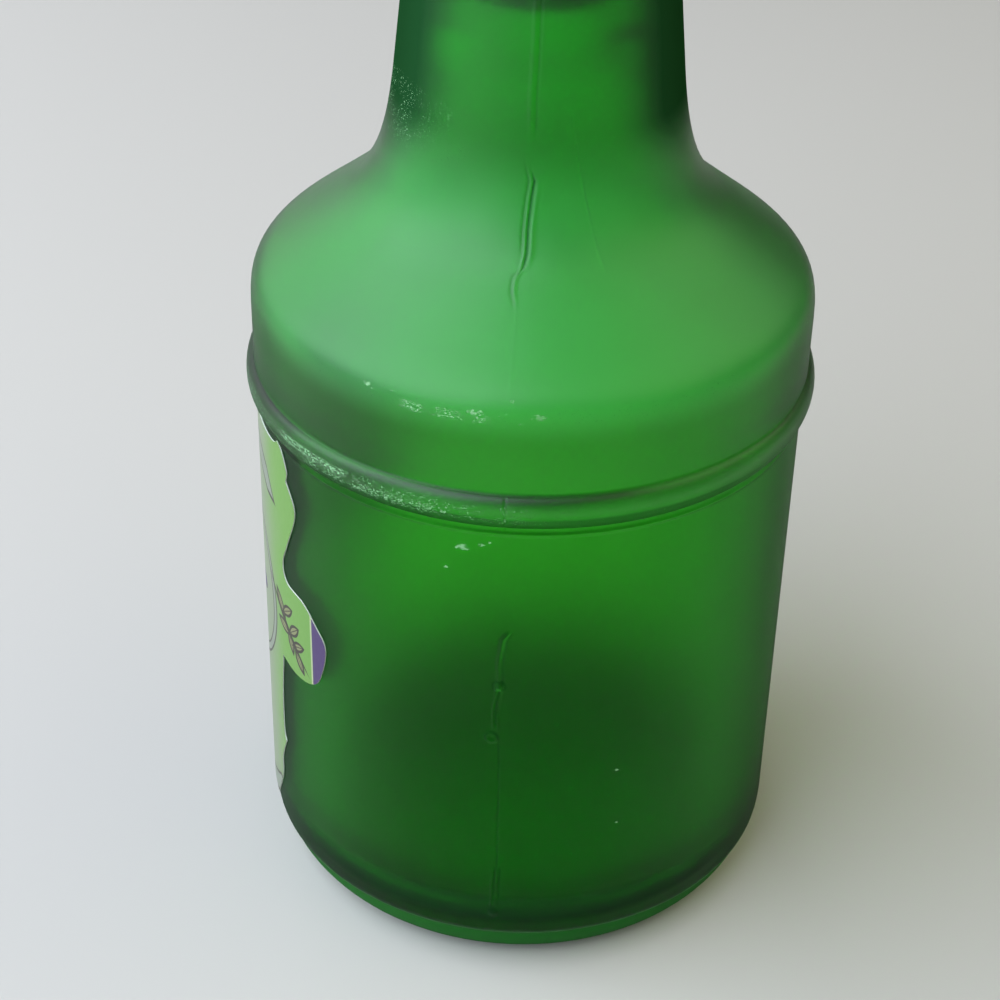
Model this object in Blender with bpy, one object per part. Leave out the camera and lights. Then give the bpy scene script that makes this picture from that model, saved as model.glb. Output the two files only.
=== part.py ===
"""Decorative spirits bottle in frosted green glass.

A blown glass shell with a bead round the body, a sloping shoulder and a tall leaning neck,
a die-cut paper label on its front, and a bar-top stopper: a cork shank in a turned cap.
Metres, +Z up, origin at the centre of the base, label on the -Y side, mould seams at +X and -X.
"""
import math

import bmesh
import bpy
from mathutils import Vector

MM = 0.001

# Glass, outside
body_radius = 47.0 * MM
heel_width = 8.8 * MM
heel_height = 11.1 * MM
heel_joint_height = 8.9 * MM
heel_joint_step = 0.4 * MM
body_height = 97.1 * MM
bead_height = 6.2 * MM
bead_bulge = 1.55 * MM
band_step = 0.47 * MM
band_height = 10.1 * MM
shoulder_height = 41.4 * MM
neck_foot_radius = 23.2 * MM
neck_lean = math.radians(5.8)
neck_height = 25.5 * MM
lip_overhang = 1.6 * MM
lip_height = 13.0 * MM
lip_lower_round = 2.2 * MM
lip_upper_round = 3.2 * MM

# Glass, inside and underneath
body_wall = 2.9 * MM
shoulder_wall = 3.6 * MM
neck_wall = 7.4 * MM
base_wall = 4.6 * MM
inner_heel_width = 13.0 * MM
inner_heel_height = 11.0 * MM
punt_height = 5.0 * MM
bearing_width = 4.0 * MM
bore_radius = 12.5 * MM
bore_foot_margin = 1.0 * MM
bore_mouth_round = 1.4 * MM

# Stopper
cork_clearance = 0.3 * MM
cork_depth = 25.5 * MM
cork_chamfer = 1.2 * MM
socket_depth = 6.0 * MM
cap_radius = 21.5 * MM
cap_height = 17.0 * MM
cap_upper_round = 3.0 * MM
cap_lower_round = 1.0 * MM
cap_crown = 0.8 * MM
seat_gap = 0.3 * MM

# Label
label_half_width = 40.5 * MM
label_top_margin = 1.2 * MM
label_foot_margin = 0.2 * MM
label_gap = 0.3 * MM
label_thickness = 0.25 * MM

# The shoulder's S-curve: where it turns from round to hollow, as shares of its fall and rise,
# its slope there, and the reach of each curve handle as a share of its own stretch's chord
turn_radius_share = 0.603
turn_height_share = 0.421
turn_slope = math.radians(39.4)
round_handle_shares = (0.344, 0.762)
hollow_handle_shares = (0.285, 0.541)

# Right half of the label's edge, from the top middle to the foot: shares of the half width and
# of the height, and whether the edge turns a corner there
label_edge_shares = (
    (0.000, 0.990, True),
    (0.560, 0.985, False),
    (0.670, 1.000, False),
    (0.742, 0.955, False),
    (0.733, 0.926, True),
    (0.797, 0.885, False),
    (0.795, 0.845, False),
    (0.715, 0.762, False),
    (0.667, 0.708, False),
    (0.700, 0.670, False),
    (0.840, 0.661, False),
    (0.930, 0.630, False),
    (1.000, 0.586, False),
    (0.957, 0.500, False),
    (0.890, 0.466, False),
    (0.770, 0.453, False),
    (0.625, 0.458, True),
    (0.592, 0.330, False),
    (0.592, 0.240, False),
    (0.615, 0.216, True),
    (0.550, 0.150, False),
    (0.532, 0.085, False),
    (0.430, 0.000, True),
    (0.000, 0.000, True),
)

# Fineness of the turned shapes
turn_segments = 64
heel_steps = 4
bead_steps = 6
shoulder_steps = 7
round_steps = 3
floor_steps = 2
label_edge_steps = 3
sharp_edge = math.radians(32)
merge_distance = 0.001 * MM

# Heights and radii that follow from the sizes above
bead_top = body_height + bead_height
band_radius = body_radius + band_step
band_top = bead_top + band_height
neck_foot = band_top + shoulder_height
lip_bottom = neck_foot + neck_height
lip_top = lip_bottom + lip_height
neck_top_radius = neck_foot_radius - neck_height * math.tan(neck_lean)
lip_radius = neck_top_radius + lip_overhang
bore_bottom = lip_top - cork_depth - bore_foot_margin
cork_radius = bore_radius - cork_clearance
cap_bottom = lip_top + seat_gap
cork_bottom = cap_bottom - cork_depth
cork_top = cap_bottom + socket_depth


def clear_scene():
    """Remove the objects that the file opened with."""
    for item in list(bpy.data.objects):
        bpy.data.objects.remove(item, do_unlink=True)


def material(name, colour, roughness, metallic, transmission):
    """A plain Principled material."""
    finish = bpy.data.materials.new(name)
    finish.use_nodes = True
    shader = finish.node_tree.nodes["Principled BSDF"]
    shader.inputs["Base Color"].default_value = (*colour, 1.0)
    shader.inputs["Roughness"].default_value = roughness
    shader.inputs["Metallic"].default_value = metallic
    shader.inputs["Transmission Weight"].default_value = transmission
    return finish


def frosted_glass():
    return material("frosted_green_glass", (0.03, 0.30, 0.03), 0.45, 0.0, 0.8)


def printed_paper():
    return material("light_green_paper", (0.34, 0.60, 0.17), 0.55, 0.0, 0.0)


def natural_cork():
    return material("natural_cork", (0.42, 0.25, 0.12), 0.85, 0.0, 0.0)


def stained_wood():
    return material("dark_stained_wood", (0.05, 0.028, 0.016), 0.5, 0.0, 0.0)


def arc(centre, reach_out, reach_up, start, end, steps):
    """Points along an elliptical arc, with angles in turns from straight out towards straight up."""
    points = []
    for step in range(steps + 1):
        turn = math.tau * (start + (end - start) * step / steps)
        points.append(centre + Vector((reach_out * math.cos(turn), reach_up * math.sin(turn))))
    return points


def curve(start, start_handle, end_handle, end, steps):
    """Points along a cubic curve from start to end."""
    points = []
    for step in range(steps + 1):
        share = step / steps
        back = 1 - share
        points.append(
            start * back**3
            + start_handle * 3 * share * back**2
            + end_handle * 3 * share**2 * back
            + end * share**3
        )
    return points


def joined(*stretches):
    """One outline from several stretches, without the points they share."""
    outline = []
    for point in (point for stretch in stretches for point in stretch):
        if not outline or (point - outline[-1]).length > merge_distance:
            outline.append(point)
    return outline


def shoulder_line():
    """The outer shoulder, from the band's top edge up to the neck's foot."""
    start = Vector((band_radius, band_top))
    end = Vector((neck_foot_radius, neck_foot))
    middle = Vector((
        start.x + (end.x - start.x) * turn_radius_share,
        start.y + (end.y - start.y) * turn_height_share,
    ))
    up = Vector((0, 1))
    slope = Vector((-math.cos(turn_slope), math.sin(turn_slope)))
    lean = Vector((-math.sin(neck_lean), math.cos(neck_lean)))
    round_chord = (middle - start).length
    hollow_chord = (end - middle).length
    round_part = curve(
        start,
        start + up * round_chord * round_handle_shares[0],
        middle - slope * round_chord * round_handle_shares[1],
        middle,
        shoulder_steps,
    )
    hollow_part = curve(
        middle,
        middle + slope * hollow_chord * hollow_handle_shares[0],
        end - lean * hollow_chord * hollow_handle_shares[1],
        end,
        shoulder_steps,
    )
    return joined(round_part, hollow_part)


def inner_shoulder_line():
    """The inner shoulder: the outer one moved in by a wall that thickens towards the neck."""
    outer = shoulder_line()
    inner = []
    for index, point in enumerate(outer):
        before = outer[max(index - 1, 0)]
        after = outer[min(index + 1, len(outer) - 1)]
        along = (after - before).normalized()
        inward = Vector((-along.y, along.x))
        share = index / (len(outer) - 1)
        wall = shoulder_wall + (neck_wall - shoulder_wall) * share
        inner.append(point + inward * wall)
    return inner


def underside_line():
    """Base from the axis outwards: the punt, the flat bearing ring and the heel."""
    bearing_outer = body_radius - heel_width - heel_joint_step
    bearing_inner = bearing_outer - bearing_width
    punt = [
        Vector((bearing_inner * share, punt_height * (1 - share**2)))
        for share in (step / floor_steps for step in range(floor_steps + 1))
    ]
    ring = [Vector((bearing_inner, 0)), Vector((bearing_outer, 0))]
    joint_turn = math.asin(1 - heel_joint_height / heel_height) / math.tau
    plate_centre = Vector((bearing_outer, heel_height))
    plate = arc(plate_centre, heel_width, heel_height, -0.25, -joint_turn, heel_steps)
    wall_centre = plate_centre + Vector((heel_joint_step, 0))
    wall = arc(wall_centre, heel_width, heel_height, -joint_turn, 0, 1)
    return joined(punt, ring, plate, wall)


def bead_line():
    """The bead round the body, swelling between the wall below it and the band above it."""
    points = []
    for step in range(bead_steps + 1):
        share = (1 - math.cos(math.pi * step / bead_steps)) / 2
        swell = bead_bulge * math.sin(math.pi * step / bead_steps)
        points.append(Vector((body_radius + band_step * share + swell, body_height + bead_height * share)))
    return points


def finish_line():
    """The neck's finish: the lip's outside, its top and the mouth of the bore."""
    lower = Vector((neck_top_radius, lip_bottom + lip_lower_round))
    upper = Vector((lip_radius - lip_upper_round, lip_top - lip_upper_round))
    mouth = Vector((bore_radius + bore_mouth_round, lip_top - bore_mouth_round))
    return joined(
        arc(lower, lip_overhang, lip_lower_round, -0.25, 0, round_steps),
        arc(upper, lip_upper_round, lip_upper_round, 0, 0.25, round_steps),
        arc(mouth, bore_mouth_round, bore_mouth_round, 0.25, 0.5, round_steps),
    )


def inside_line():
    """The inside from the bore down to the floor: bore, flare, shoulder, wall and floor."""
    shoulder = inner_shoulder_line()[::-1]
    bore_end = Vector((bore_radius, bore_bottom))
    flare_end = shoulder[0]
    flare_reach = Vector((0, (bore_end.y - flare_end.y) / 2))
    flare = curve(bore_end, bore_end - flare_reach, flare_end + flare_reach, flare_end, round_steps)
    inner_radius = body_radius - body_wall
    low_centre = Vector((inner_radius - inner_heel_width, base_wall + inner_heel_height))
    heel = arc(low_centre, inner_heel_width, inner_heel_height, 0, -0.25, heel_steps)
    floor_radius = low_centre.x
    floor = [
        Vector((floor_radius * share, base_wall + punt_height * (1 - share**2)))
        for share in (1 - step / floor_steps for step in range(floor_steps + 1))
    ]
    wall_top = Vector((inner_radius, band_top - body_wall))
    return joined([bore_end], flare, shoulder[:-1], [wall_top], heel, floor)


def turned(name, outline, finish):
    """A closed solid turned about +Z from an outline of (radius, height) that ends on the axis."""
    shape = bmesh.new()
    verts = [shape.verts.new((point.x, 0, point.y)) for point in outline]
    edges = [shape.edges.new(pair) for pair in zip(verts, verts[1:])]
    bmesh.ops.spin(
        shape,
        geom=verts + edges,
        cent=(0, 0, 0),
        axis=(0, 0, 1),
        angle=math.tau,
        steps=turn_segments,
        use_merge=True,
    )
    bmesh.ops.remove_doubles(shape, verts=shape.verts, dist=merge_distance)
    return placed(name, shape, finish)


def placed(name, shape, finish):
    """Turn a bmesh into an object with outward faces, smooth shading and its material."""
    bmesh.ops.recalc_face_normals(shape, faces=shape.faces)
    mesh = bpy.data.meshes.new(name)
    shape.to_mesh(mesh)
    shape.free()
    mesh.materials.append(finish)
    mesh.shade_smooth()
    mesh.set_sharp_from_angle(angle=sharp_edge)
    item = bpy.data.objects.new(name, mesh)
    bpy.context.scene.collection.objects.link(item)
    return item


def glass_bottle():
    """The glass: one blown shell, open at the mouth."""
    outline = joined(underside_line(), bead_line(), shoulder_line(), finish_line(), inside_line())
    return turned("glass_bottle", outline, frosted_glass())


def cork_shank():
    """The cork, from its foot in the bore to its head in the cap's socket."""
    outline = [
        Vector((0, cork_bottom)),
        Vector((cork_radius - cork_chamfer, cork_bottom)),
        Vector((cork_radius, cork_bottom + cork_chamfer)),
        Vector((cork_radius, cork_top)),
        Vector((0, cork_top)),
    ]
    return turned("cork_shank", outline, natural_cork())


def stopper_cap():
    """The turned cap, with the socket that the cork is glued into."""
    cap_top = cap_bottom + cap_height
    socket_radius = cork_radius + cork_clearance
    socket_top = cork_top + seat_gap
    lower = Vector((cap_radius - cap_lower_round, cap_bottom + cap_lower_round))
    upper = Vector((cap_radius - cap_upper_round, cap_top - cap_crown - cap_upper_round))
    crown = [
        Vector((upper.x * share, cap_top - cap_crown * share**2))
        for share in (1 - step / floor_steps for step in range(floor_steps + 1))
    ]
    outline = joined(
        [Vector((0, socket_top)), Vector((socket_radius, socket_top)), Vector((socket_radius, cap_bottom))],
        arc(lower, cap_lower_round, cap_lower_round, -0.25, 0, round_steps),
        arc(upper, cap_upper_round, cap_upper_round, 0, 0.25, round_steps),
        crown,
    )
    return turned("stopper_cap", outline, stained_wood())


def label_edge():
    """Right half of the label's edge in the flat: (arc length from the middle, height)."""
    foot = heel_height + label_foot_margin
    height = body_height - label_top_margin - foot
    knots = [Vector((across * label_half_width, foot + up * height)) for across, up, _ in label_edge_shares]
    corners = [corner for _, _, corner in label_edge_shares]
    points = []
    for index in range(len(knots) - 1):
        start, end = knots[index], knots[index + 1]
        before = start if corners[index] else knots[index - 1]
        after = end if corners[index + 1] else knots[index + 2]
        reach = 1 / 6
        points += curve(start, start + (end - before) * reach, end - (after - start) * reach, end, label_edge_steps)
    return joined(points)


def front_label():
    """The paper label: its flat outline, creased at the glass's facets and wrapped round the body."""
    half = label_edge()
    left = [Vector((-point.x, point.y)) for point in half[::-1] if point.x > merge_distance]
    facet = math.tau / turn_segments
    facet_length = body_radius * facet
    shape = bmesh.new()
    shape.faces.new([shape.verts.new((point.x, 0, point.y)) for point in joined(half, left)])
    creases = math.ceil(label_half_width / facet_length)
    for crease in range(-creases, creases + 1):
        bmesh.ops.bisect_plane(
            shape,
            geom=shape.verts[:] + shape.edges[:] + shape.faces[:],
            dist=merge_distance,
            plane_co=(crease * facet_length, 0, 0),
            plane_no=(1, 0, 0),
        )
    inner_radius = body_radius + label_gap
    for vert in shape.verts:
        column = math.floor(vert.co.x / facet_length)
        share = vert.co.x / facet_length - column
        near = Vector((math.sin(column * facet), -math.cos(column * facet)))
        far = Vector((math.sin((column + 1) * facet), -math.cos((column + 1) * facet)))
        place = near.lerp(far, share) * inner_radius
        vert.co = (place.x, place.y, vert.co.z)
    grown = bmesh.ops.extrude_face_region(shape, geom=shape.faces[:])
    outer = [item for item in grown["geom"] if isinstance(item, bmesh.types.BMVert)]
    swell = (inner_radius + label_thickness) / inner_radius
    bmesh.ops.scale(shape, vec=(swell, swell, 1), verts=outer)
    return placed("front_label", shape, printed_paper())


def stopper_origin(pieces):
    """Hang the stopper's pieces on one empty, on the axis they slide along."""
    handle = bpy.data.objects.new("stopper", None)
    handle.location = (0, 0, cap_bottom)
    bpy.context.scene.collection.objects.link(handle)
    for piece in pieces:
        piece.parent = handle
        piece.matrix_parent_inverse.translation = -handle.location
    return handle


def main():
    clear_scene()
    glass_bottle()
    front_label()
    stopper_origin([cork_shank(), stopper_cap()])


main()
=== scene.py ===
"""Looks of a frosted green spirits bottle with a die-cut paper label and a cork stopper.

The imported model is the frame. The glass, the label, the cork and the cap are made again here as
finer meshes in the same places, each with its own finish, and stand in a plain soft studio.
"""
import logging
import math
from dataclasses import dataclass
from enum import Enum
from typing import Any, Iterable, Sequence

import bmesh
import bpy
from mathutils import Matrix, Vector, noise


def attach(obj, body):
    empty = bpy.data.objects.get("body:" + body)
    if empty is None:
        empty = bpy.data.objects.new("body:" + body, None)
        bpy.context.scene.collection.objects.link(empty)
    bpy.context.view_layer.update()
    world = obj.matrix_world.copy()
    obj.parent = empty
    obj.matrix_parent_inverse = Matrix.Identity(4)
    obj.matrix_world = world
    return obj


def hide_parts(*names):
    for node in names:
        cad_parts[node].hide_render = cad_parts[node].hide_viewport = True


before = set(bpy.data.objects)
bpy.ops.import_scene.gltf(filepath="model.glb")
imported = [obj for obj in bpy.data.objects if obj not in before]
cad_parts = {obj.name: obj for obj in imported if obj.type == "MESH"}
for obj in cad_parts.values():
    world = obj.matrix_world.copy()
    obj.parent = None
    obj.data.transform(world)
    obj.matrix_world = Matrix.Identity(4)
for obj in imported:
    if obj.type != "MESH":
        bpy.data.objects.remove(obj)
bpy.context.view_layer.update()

MM = 0.001
MERGE = 0.0005 * MM
OUTER_FACE = "outer_face"
# Painted shade in the mould seams' creases.
SEAM_CREASE_SHADE = "seam_crease_shade"
WORN_EDGE = "worn_edge"
CORK_PORE = "cork_pore"
MARK_SQUASH = 1.8
LEAST_DIVISOR = 0.001

log = logging.getLogger("bottle")
Colour = tuple[float, float, float]
Span = tuple[float, float]
Band = tuple[float, float, float]


def linear(red: int, green: int, blue: int) -> Colour:
    """Turn a colour picked on a screen into the shader's linear values.

    Args:
        red: The red part, 0 to 255.
        green: The green part, 0 to 255.
        blue: The blue part, 0 to 255.

    Returns:
        The linear colour.
    """
    parts = []
    for byte in (red, green, blue):
        share = byte / 255
        parts.append(share / 12.92 if share <= 0.04045 else ((share + 0.055) / 1.055) ** 2.4)
    return (parts[0], parts[1], parts[2])


class Value:
    """A number that varies over a surface: a node's output, with Python's own operators."""

    def __init__(self, nodes: "Nodes", socket: bpy.types.NodeSocket) -> None:
        """Keep the socket and the tree that it is in."""
        self.nodes = nodes
        self.socket = socket

    def math(self, operation: str, *others: "Value | float", flip: bool = False) -> "Value":
        """Add a Math node.

        Args:
            operation: The node's operation.
            others: The values after this one.
            flip: Whether this value comes second.

        Returns:
            The node's output.
        """
        values = [self, *others]
        if flip:
            values.reverse()
        return self.nodes.add("ShaderNodeMath", {"operation": operation}, dict(enumerate(values)))

    def __add__(self, other: "Value | float") -> "Value":
        """self + other"""
        return self.math("ADD", other)

    __radd__ = __add__

    def __sub__(self, other: "Value | float") -> "Value":
        """self - other"""
        return self.math("SUBTRACT", other)

    def __rsub__(self, other: "Value | float") -> "Value":
        """other - self"""
        return self.math("SUBTRACT", other, flip=True)

    def __mul__(self, other: "Value | float") -> "Value":
        """self * other"""
        return self.math("MULTIPLY", other)

    __rmul__ = __mul__

    def __truediv__(self, other: "Value | float") -> "Value":
        """self / other"""
        return self.math("DIVIDE", other)

    def __pow__(self, other: "Value | float") -> "Value":
        """self ** other"""
        return self.math("POWER", other)

    def __abs__(self) -> "Value":
        """abs(self)"""
        return self.math("ABSOLUTE")

    def least(self, other: "Value | float") -> "Value":
        """The lesser of two values."""
        return self.math("MINIMUM", other)

    def most(self, other: "Value | float") -> "Value":
        """The greater of two values."""
        return self.math("MAXIMUM", other)

    def fade(self, low: float, high: float) -> "Value":
        """Rise smoothly from 0 at low to 1 at high.

        Args:
            low: Where it is still 0.
            high: Where it is 1, which may be below low.

        Returns:
            The faded value, 0 to 1.
        """
        ends = {0: self, 1: low, 2: high, 3: 0.0, 4: 1.0}
        if low > high:
            ends = {0: self, 1: high, 2: low, 3: 1.0, 4: 0.0}
        return self.nodes.add("ShaderNodeMapRange", {"interpolation_type": "SMOOTHSTEP"}, ends)

    def band(self, middle: "Value | float", half: float, soft: float) -> "Value":
        """1 within half of middle, fading to 0 over soft."""
        return abs(self - middle).fade(half + soft, half)

    def ranged(self, least: float, more: float) -> "Value":
        """least where this value is 0 and least + more where it is 1."""
        return self * more + least

    def turn(self, other: "Value") -> "Value":
        """The angle whose tangent is self / other."""
        return self.math("ARCTAN2", other)


class Nodes:
    """A material with a Principled shader, and the one method that adds any other node."""

    def __init__(self, name: str) -> None:
        """Make the material with its Principled shader."""
        self.material = bpy.data.materials.new(name)
        self.material.use_nodes = True
        self.tree = self.material.node_tree
        self.shader = self.tree.nodes["Principled BSDF"]

    def add(
        self, kind: str, settings: dict[str, Any], inputs: dict[Any, Any], output: int | str = 0
    ) -> Value:
        """Add a node.

        Args:
            kind: The node's type.
            settings: Its properties, set before its inputs.
            inputs: Values or links by socket name or number.
            output: The output to return.

        Returns:
            That output.
        """
        node = self.tree.nodes.new(kind)
        for key, setting in settings.items():
            setattr(node, key, setting)
        for key, value in inputs.items():
            self.feed(node.inputs[key], value)
        return Value(self, node.outputs[output])

    def feed(self, socket: bpy.types.NodeSocket, value: Any) -> None:
        """Link a value to a socket, or set a number or colour on it.

        Args:
            socket: The input.
            value: The value to link, or the number, vector or colour to set.
        """
        if isinstance(value, Value):
            self.tree.links.new(value.socket, socket)
        elif socket.type == "RGBA" and len(value) == 3:
            socket.default_value = (*value, 1.0)
        else:
            socket.default_value = value

    def place(self) -> tuple[Value, Value, Value, Value]:
        """Read the point on the object.

        Returns:
            The point, and its x, y and z.
        """
        point = self.add("ShaderNodeTexCoord", {}, {}, "Object")
        parts = self.tree.nodes.new("ShaderNodeSeparateXYZ")
        self.tree.links.new(point.socket, parts.inputs[0])
        x, y, z = (Value(self, socket) for socket in parts.outputs)
        return point, x, y, z

    def stretched(self, point: Value, scale: tuple[float, float, float]) -> Value:
        """The point with its three parts scaled."""
        return self.add("ShaderNodeVectorMath", {"operation": "MULTIPLY"}, {0: point, 1: scale})

    def noise(
        self, point: Value, size: float, detail: float = 3.0, rough: float = 0.5, warp: float = 0.0
    ) -> Value:
        """Noise from 0 to 1 with lumps of about the given size in metres."""
        inputs = {"Vector": point, "Scale": 1 / size, "Detail": detail, "Roughness": rough}
        return self.add("ShaderNodeTexNoise", {}, inputs | {"Distortion": warp})

    def mix(self, share: "Value | float", first: Any, second: Any) -> Value:
        """One colour turning into another as share goes from 0 to 1."""
        return self.add("ShaderNodeMix", {"data_type": "RGBA"}, {0: share, 6: first, 7: second}, 2)

    def bump(self, height: Value, depth: float, strength: float = 1.0) -> None:
        """Raise the surface by height times depth in metres."""
        bumped = self.add("ShaderNodeBump", {}, {"Height": height, "Distance": depth, "Strength": strength})
        self.feed(self.shader.inputs["Normal"], bumped)

    def near(self, point: Value, spot: Vector, reach: float) -> Value:
        """1 at a spot on the piece, falling to 0 at a distance from it."""
        ends = {0: point, 1: tuple(spot)}
        return self.add("ShaderNodeVectorMath", {"operation": "DISTANCE"}, ends, "Value").fade(reach, 0.0)

    def set(self, **sockets: Any) -> None:
        """Set the shader's inputs, named with _ for each space."""
        for name, value in sockets.items():
            self.feed(self.shader.inputs[name.replace("_", " ")], value)

    def attribute(self, name: str) -> Value:
        """A number kept on the piece's own mesh."""
        return self.add("ShaderNodeAttribute", {"attribute_name": name}, {}, "Fac")

    def cover(self, share: Value, colour: Value, roughness: float) -> None:
        """Lay a dull layer over the finish.

        Args:
            share: How much of the surface it covers, 0 to 1.
            colour: The layer's colour.
            roughness: The layer's roughness.
        """
        inputs = {"Base Color": colour, "Roughness": roughness, "Specular IOR Level": 0.0}
        shade_light_and_wear = self.add("ShaderNodeBsdfPrincipled", {}, inputs)
        finish = Value(self, self.shader.outputs[0])
        both = self.add("ShaderNodeMixShader", {}, {0: share, 1: finish, 2: shade_light_and_wear})
        self.feed(self.tree.nodes["Material Output"].inputs["Surface"], both)


@dataclass(frozen=True)
class FrostedGlass:
    """Green glass, etched dull outside and smoother inside, with a thicker bloom above the bead.

    Heights and reaches are in millimetres, and sizes of patterns in metres. A span is where a
    change starts and where it is complete. A band is its middle, its half height and how far
    it fades out. Patches are the least that a pattern gives and what it adds. The flow line
    starts at an angle in degrees and a height, and its width is half of it and its fading.
    """

    colour: Colour = (0.54, 0.95, 0.42)
    stain: Colour = (0.4, 0.69, 0.31)
    tint: Colour = (0.1, 0.1, 0.1)
    outer_roughness: float = 0.46
    inner_roughness: float = 0.2
    index: float = 1.4
    grain_size: float = 0.45 * MM
    cloud_size: float = 9 * MM
    grain_roughness: float = 0.1
    grain_relief: float = 0.03
    relief: float = 0.25 * MM
    relief_strength: float = 0.5
    stain_patches: Span = (0.85, 0.3)
    bloom_patches: Span = (0.85, 0.3)
    absorbed: Colour = (0.11, 0.9, 0.0)
    density: float = 350.0
    bloom_roughness: float = 0.45
    bloom_index: float = 1.5
    body_bloom: float = 0.1
    bead_bloom: float = 0.4
    shoulder_bloom: float = 0.4
    neck_thinning: float = 0.2
    haze_bloom: float = 0.4
    # Painted shade: the dark colour laid on the rims, in the seams' creases, under the bead, above the heel
    # and on the underside.
    edge: Colour = (0.008, 0.045, 0.012)
    veil: Colour = (0.15, 0.8, 0.24)
    veil_share: float = 0.12
    veil_neck_loss: float = 0.1
    veil_rim_loss: float = 0.85
    veil_patches: Span = (0.8, 0.4)
    # How much painted shade darkens the rims, more on the body and most on the neck.
    rim_share: float = 0.2
    rim_body_share: float = 0.28
    rim_neck_share: float = 0.8
    rim_neck_turn: float = 0.25
    # How much painted shade darkens the seams' creases.
    crease_shade_share: float = 0.75
    # Painted shade on the underside, in a band above the heel and under the bead.
    underside_share: float = 0.9
    base_edge_share: float = 0.42
    bead_foot_share: float = 0.5
    # Painted light: the heel strip is given a lit mid green.
    heel: Colour = linear(36, 112, 40)
    heel_share: float = 0.75
    scuff: Colour = linear(150, 205, 150)
    scuff_roughness: float = 0.6
    scuff_pale: float = 0.12
    neck: Span = (140.0, 153.0)
    shoulder: Span = (112.0, 119.0)
    body: Span = (20.0, 90.0)
    bead: Span = (98.8, 101.0)
    bead_haze: Band = (101.8, 0.9, 1.0)
    bead_foot: Band = (98.5, 0.8, 0.8)
    stain_top: Span = (118.0, 112.0)
    stain_foot: Span = (30.0, 75.0)
    # Where the painted rim shade grows below the shoulder, and over which facing it comes in.
    rim_top: Span = (122.0, 116.0)
    rim_angles: Span = (0.35, 0.78)
    veil_angles: Span = (0.4, 0.8)
    # Where the painted shade lies above the heel and on the underside.
    base_edge: Band = (14.6, 1.6, 2.2)
    underside_top: Span = (7.0, 5.2)
    underside_ring: tuple[Span, Span] = ((44.0, 42.0), (30.0, 38.0))
    # Where the painted light lies on the heel strip.
    heel_top: Span = (9.3, 8.7)
    heel_reach: Span = (40.0, 43.0)
    # A painted highlight along the heel's joint.
    heel_joint_highlight: Band = (8.75, 0.2, 0.25)
    heel_joint_highlight_share: float = 0.45
    flow_start: Span = (17.6, 155.2)
    flow_lean: float = 0.36
    flow_width: Span = (0.1, 0.7)
    flow_height: Band = (145.0, 10.0, 3.0)
    speck_size: float = 0.36 * MM
    ragged_size: float = 0.7 * MM
    patch_size: float = 5 * MM
    patch_edge: Span = (0.3, 0.5)
    fleck_softness: float = 0.05
    wear_fade: float = 0.4
    chip_raggedness: float = 4.5
    chip_edge: Span = (0.45, 0.75)
    chip_core: Span = (0.02, 0.25)
    chip_patches: Span = (0.55, 0.6)

    def material(self) -> bpy.types.Material:
        """Build the finish.

        Returns:
            The material.
        """
        nodes = Nodes("frosted_green_glass")
        point, x, y, z = nodes.place()
        up = z * (1 / MM)
        around = y.turn(x) * math.degrees(1)
        reach = (x**2 + y**2) ** 0.5 * (1 / MM)
        outer = nodes.attribute(OUTER_FACE)
        grain = nodes.noise(point, self.grain_size, 3.0)
        cloud = nodes.noise(point, self.cloud_size, 4.0, 0.6)
        stained = up.fade(*self.stain_top) * up.fade(*self.stain_foot)
        rough = self.inner_roughness + outer * (self.outer_roughness - self.inner_roughness)
        nodes.set(
            Base_Color=nodes.mix(stained * cloud.ranged(*self.stain_patches), self.colour, self.stain),
            Roughness=rough + (grain - 0.5) * self.grain_roughness * outer,
            IOR=self.index,
            Transmission_Weight=1.0,
            Specular_Tint=self.tint,
            Coat_Weight=outer * self.bloom(up) * grain.ranged(*self.bloom_patches),
            Coat_Roughness=self.bloom_roughness,
            Coat_IOR=self.bloom_index,
        )
        height = grain * self.grain_relief + cloud - self.flow_line(around, up)
        nodes.bump(height, self.relief, self.relief_strength)
        scuffs = self.scuffs(nodes, point, around, up)
        # Lay the painted shade, the painted light, the veil and the scuffs.
        self.shade_light_and_wear(nodes, up, reach, outer, cloud, scuffs)
        depth = {"Color": self.absorbed, "Density": self.density}
        volume = nodes.add("ShaderNodeVolumeAbsorption", {}, depth)
        nodes.feed(nodes.tree.nodes["Material Output"].inputs["Volume"], volume)
        return nodes.material

    def bloom(self, up: Value) -> Value:
        """Lay the etched bloom, most on the shoulder and along the bead's upper half.

        Args:
            up: The height in millimetres.

        Returns:
            How thick the bloom is.
        """
        body = up.fade(*self.body) * self.body_bloom
        bead = up.fade(*self.bead) * self.bead_bloom
        shoulder = up.fade(*self.shoulder) * self.shoulder_bloom
        neck = up.fade(*self.neck) * self.neck_thinning
        return body + bead + shoulder - neck + up.band(*self.bead_haze) * self.haze_bloom

    def shade_light_and_wear(
        self, nodes: Nodes, up: Value, reach: Value, outer: Value, cloud: Value, scuffs: Value
    ) -> None:
        """Lay the dull layer: painted shade on the rims, in the seams' creases, under the bead, above the
        heel and on the underside, a pale veil, painted light on the heel strip with a painted highlight
        along its joint, and the scuffs.

        Args:
            nodes: The material.
            up: The height in millimetres.
            reach: The distance from the axis in millimetres.
            outer: 1 on the outer face.
            cloud: The veil's unevenness.
            scuffs: The rubbed marks.
        """
        neck = up.fade(*self.neck)
        # Painted shade on the rims, where the surface turns away from the view.
        facing = nodes.add("ShaderNodeLayerWeight", {}, {"Blend": 0.5}, "Facing")
        rim = up.fade(*self.rim_top) * self.rim_body_share + self.rim_share + neck * self.rim_neck_share
        rim = (facing + neck * self.rim_neck_turn).fade(*self.rim_angles) * rim
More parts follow.
